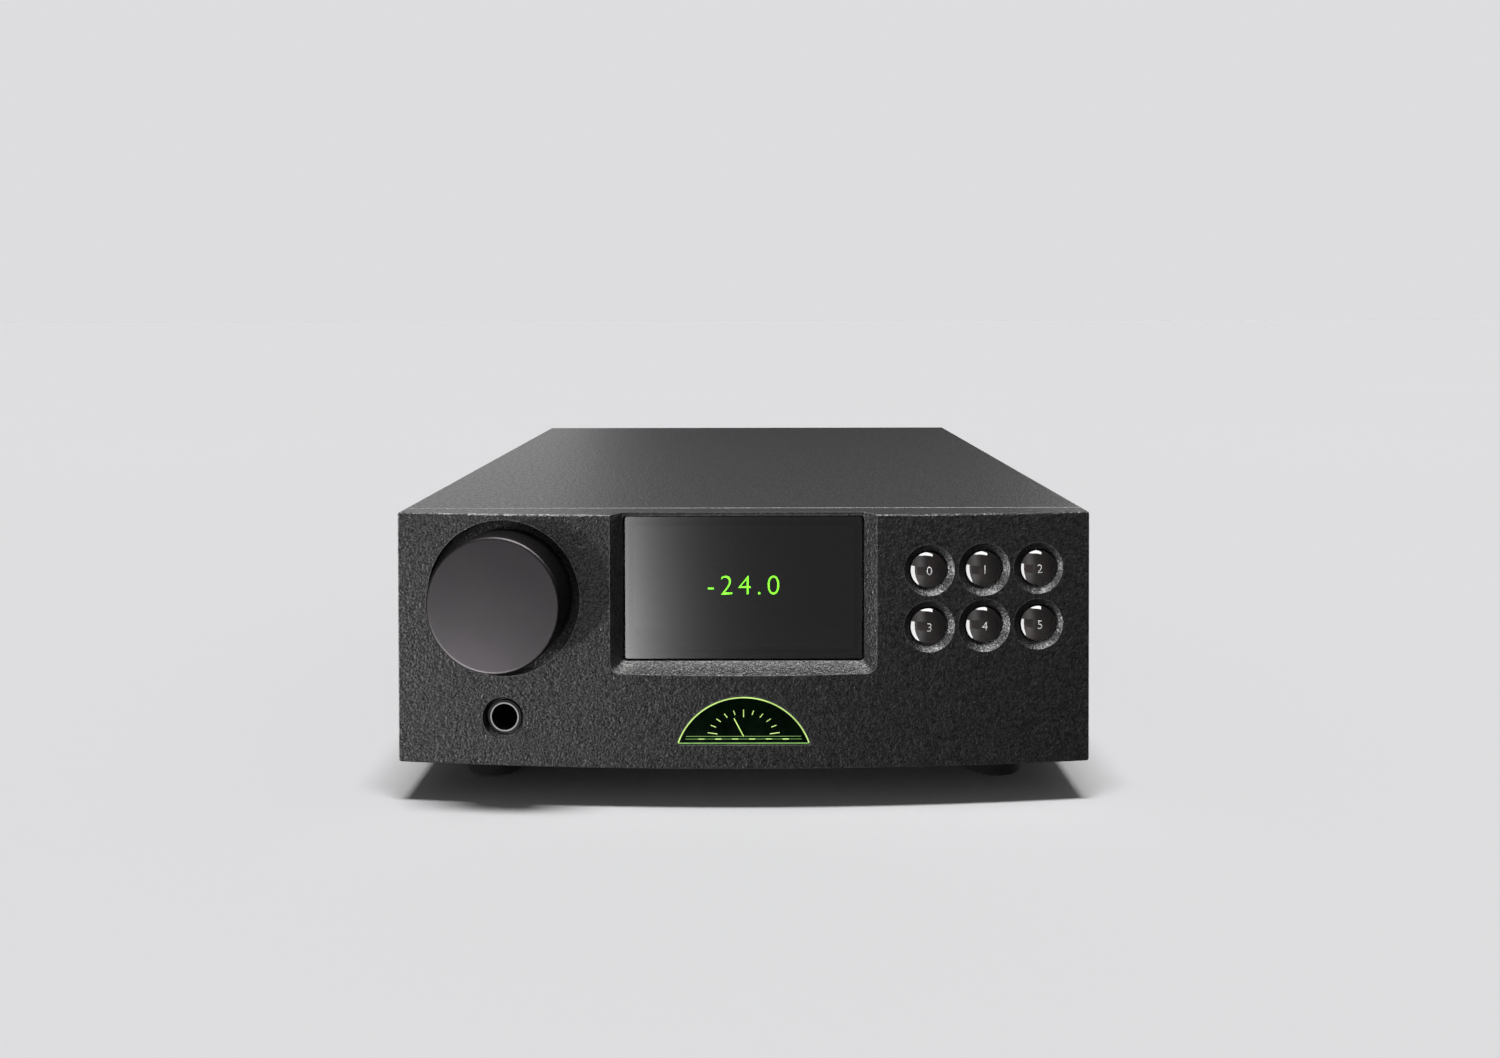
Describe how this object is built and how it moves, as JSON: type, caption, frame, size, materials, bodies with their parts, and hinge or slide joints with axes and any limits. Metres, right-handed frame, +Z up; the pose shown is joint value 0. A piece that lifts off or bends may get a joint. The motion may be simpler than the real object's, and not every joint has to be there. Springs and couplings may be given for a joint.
{
  "type": "desktop digital-to-analogue converter",
  "caption": "Half-width desktop digital-to-analogue converter and headphone amplifier with a curved front, volume knob, lit window and source buttons.",
  "frame": {"origin": "middle of the overall box, at desk level under the feet", "axes": "+Z up, the curved front with the knob and buttons faces -Y, the sockets face +Y, +X is to the right of someone facing the front"},
  "size_m": [0.207, 0.3139, 0.087],
  "materials": {
    "case_coat": "fine-textured black powder coat over extruded and cast aluminium",
    "panel_coat": "satin black coat",
    "tray_sheet": "zinc-plated steel sheet",
    "foot_rubber": "matte",
    "zinc_screw": "bright zinc",
    "black_screw": "black oxide",
    "smoked_glass": "polished, smoked",
    "black_foam": "closed-cell foam",
    "display_glass": "dark display behind the pane",
    "board_green": "solder-masked glass-fibre board",
    "knob_anodised": "satin black anodised",
    "plain_steel": "plated steel",
    "plated_nut": "nickel plated",
    "button_gloss": "glossy black",
    "black_plastic": "moulded",
    "jack_chrome": "nickel plated",
    "badge_acrylic": "dark acrylic that glows yellow-green at its edge when lit",
    "transformer_tape": "core and windings wrapped in clear yellow polyester tape",
    "pillar_brass": "nickel-plated brass",
    "capacitor_sleeve": "heat-shrunk sleeve over an aluminium can",
    "sink_aluminium": "black anodised",
    "header_plastic": "moulded",
    "ribbon_grey": "flat cable",
    "fuse_glass": "glass tube with plated caps",
    "socket_gold": "gold plated",
    "core_plastic": "turned insulator",
    "wire_sleeve": "insulated wire"
  },
  "bodies": {
    "case": {"badge_lens": "badge_acrylic", "badge_light": "board_green", "bnc_socket": "plated_nut", "board_headers": "header_plastic", "board_pillars": "pillar_brass", "button_board": "board_green", "capacitors": "capacitor_sleeve", "chassis_tray": "tray_sheet", "display_board": "board_green", "display_panel": "display_glass", "display_window": "smoked_glass", "encoder_body": "plain_steel", "encoder_nut": "plated_nut", "fascia": "case_coat", "foot_screws": "zinc_screw", "ground_switch": "black_plastic", "headphone_board": "board_green", "headphone_jack": "black_plastic", "heat_sink": "sink_aluminium", "inlet_pins": "plated_nut", "input_board": "board_green", "jack_bush": "jack_chrome", "m3_screws": "black_screw", "main_board": "board_green", "mains_inlet": "black_plastic", "mains_transformer": "transformer_tape", "optical_sockets": "black_plastic", "power_switch_frame": "black_plastic", "power_wires": "wire_sleeve", "rca_shells": "socket_gold", "rear_panel": "panel_coat", "regulators": "black_plastic", "ribbon_cables": "ribbon_grey", "rubber_feet": "foot_rubber", "signal_chips": "black_plastic", "sleeve": "case_coat", "socket_cores": "core_plastic", "switch_housings": "black_plastic", "transformer_bolt": "zinc_screw", "transformer_dish": "plain_steel", "transformer_pads": "black_foam", "usb_socket": "plated_nut", "window_gasket": "black_foam", "xlr_pins": "socket_gold", "xlr_shells": "panel_coat"},
    "knob_body": {"volume_knob": "knob_anodised", "knob_set_screw": "black_screw", "encoder_shaft": "plain_steel"},
    "button_body_0": {"source_button_0": "button_gloss"},
    "button_body_1": {"source_button_1": "button_gloss"},
    "button_body_2": {"source_button_2": "button_gloss"},
    "button_body_3": {"source_button_3": "button_gloss"},
    "button_body_4": {"source_button_4": "button_gloss"},
    "button_body_5": {"source_button_5": "button_gloss"},
    "rocker_body": {"power_rocker": "button_gloss"},
    "slider_body": {"ground_slider": "black_plastic"},
    "drawer_body": {"fuse_drawer": "black_plastic", "fuse": "fuse_glass"},
    "left_shutter_body": {"optical_shutter_left": "black_plastic"},
    "right_shutter_body": {"optical_shutter_right": "black_plastic"}
  },
  "joints": [
    {"name": "volume_turn", "type": "hinge", "parent": "case", "child": "knob_body", "pos_m": [-0.07159, -0.14678, 0.062], "axis": [0.0929, 0.9957, 0], "continuous": true},
    {"name": "button_press_0", "type": "slide", "parent": "case", "child": "button_body_0", "axis": [-0.0929, 0.9957, 0], "range_m": [0, 0.001], "stiffness_N_per_m": 600},
    {"name": "button_press_1", "type": "slide", "parent": "case", "child": "button_body_1", "axis": [-0.0929, 0.9957, 0], "range_m": [0, 0.001], "stiffness_N_per_m": 600},
    {"name": "button_press_2", "type": "slide", "parent": "case", "child": "button_body_2", "axis": [-0.0929, 0.9957, 0], "range_m": [0, 0.001], "stiffness_N_per_m": 600},
    {"name": "button_press_3", "type": "slide", "parent": "case", "child": "button_body_3", "axis": [-0.0929, 0.9957, 0], "range_m": [0, 0.001], "stiffness_N_per_m": 600},
    {"name": "button_press_4", "type": "slide", "parent": "case", "child": "button_body_4", "axis": [-0.0929, 0.9957, 0], "range_m": [0, 0.001], "stiffness_N_per_m": 600},
    {"name": "button_press_5", "type": "slide", "parent": "case", "child": "button_body_5", "axis": [-0.0929, 0.9957, 0], "range_m": [0, 0.001], "stiffness_N_per_m": 600},
    {"name": "power_rock", "type": "hinge", "parent": "case", "child": "rocker_body", "pos_m": [-0.077, 0.14529, 0.0712], "axis": [-1, 0, 0], "range_deg": [0, 16]},
    {"name": "ground_slide", "type": "slide", "parent": "case", "child": "slider_body", "axis": [1, 0, 0], "range_m": [0, 0.004]},
    {"name": "fuse_drawer_pull", "type": "slide", "parent": "case", "child": "drawer_body", "axis": [0, 1, 0], "range_m": [0, 0.02]},
    {"name": "left_shutter_swing", "type": "hinge", "parent": "case", "child": "left_shutter_body", "pos_m": [0.025, 0.14729, 0.0675], "axis": [1, 0, 0], "range_deg": [-80, 0]},
    {"name": "right_shutter_swing", "type": "hinge", "parent": "case", "child": "right_shutter_body", "pos_m": [0.045, 0.14729, 0.0675], "axis": [1, 0, 0], "range_deg": [-80, 0]}
  ]
}
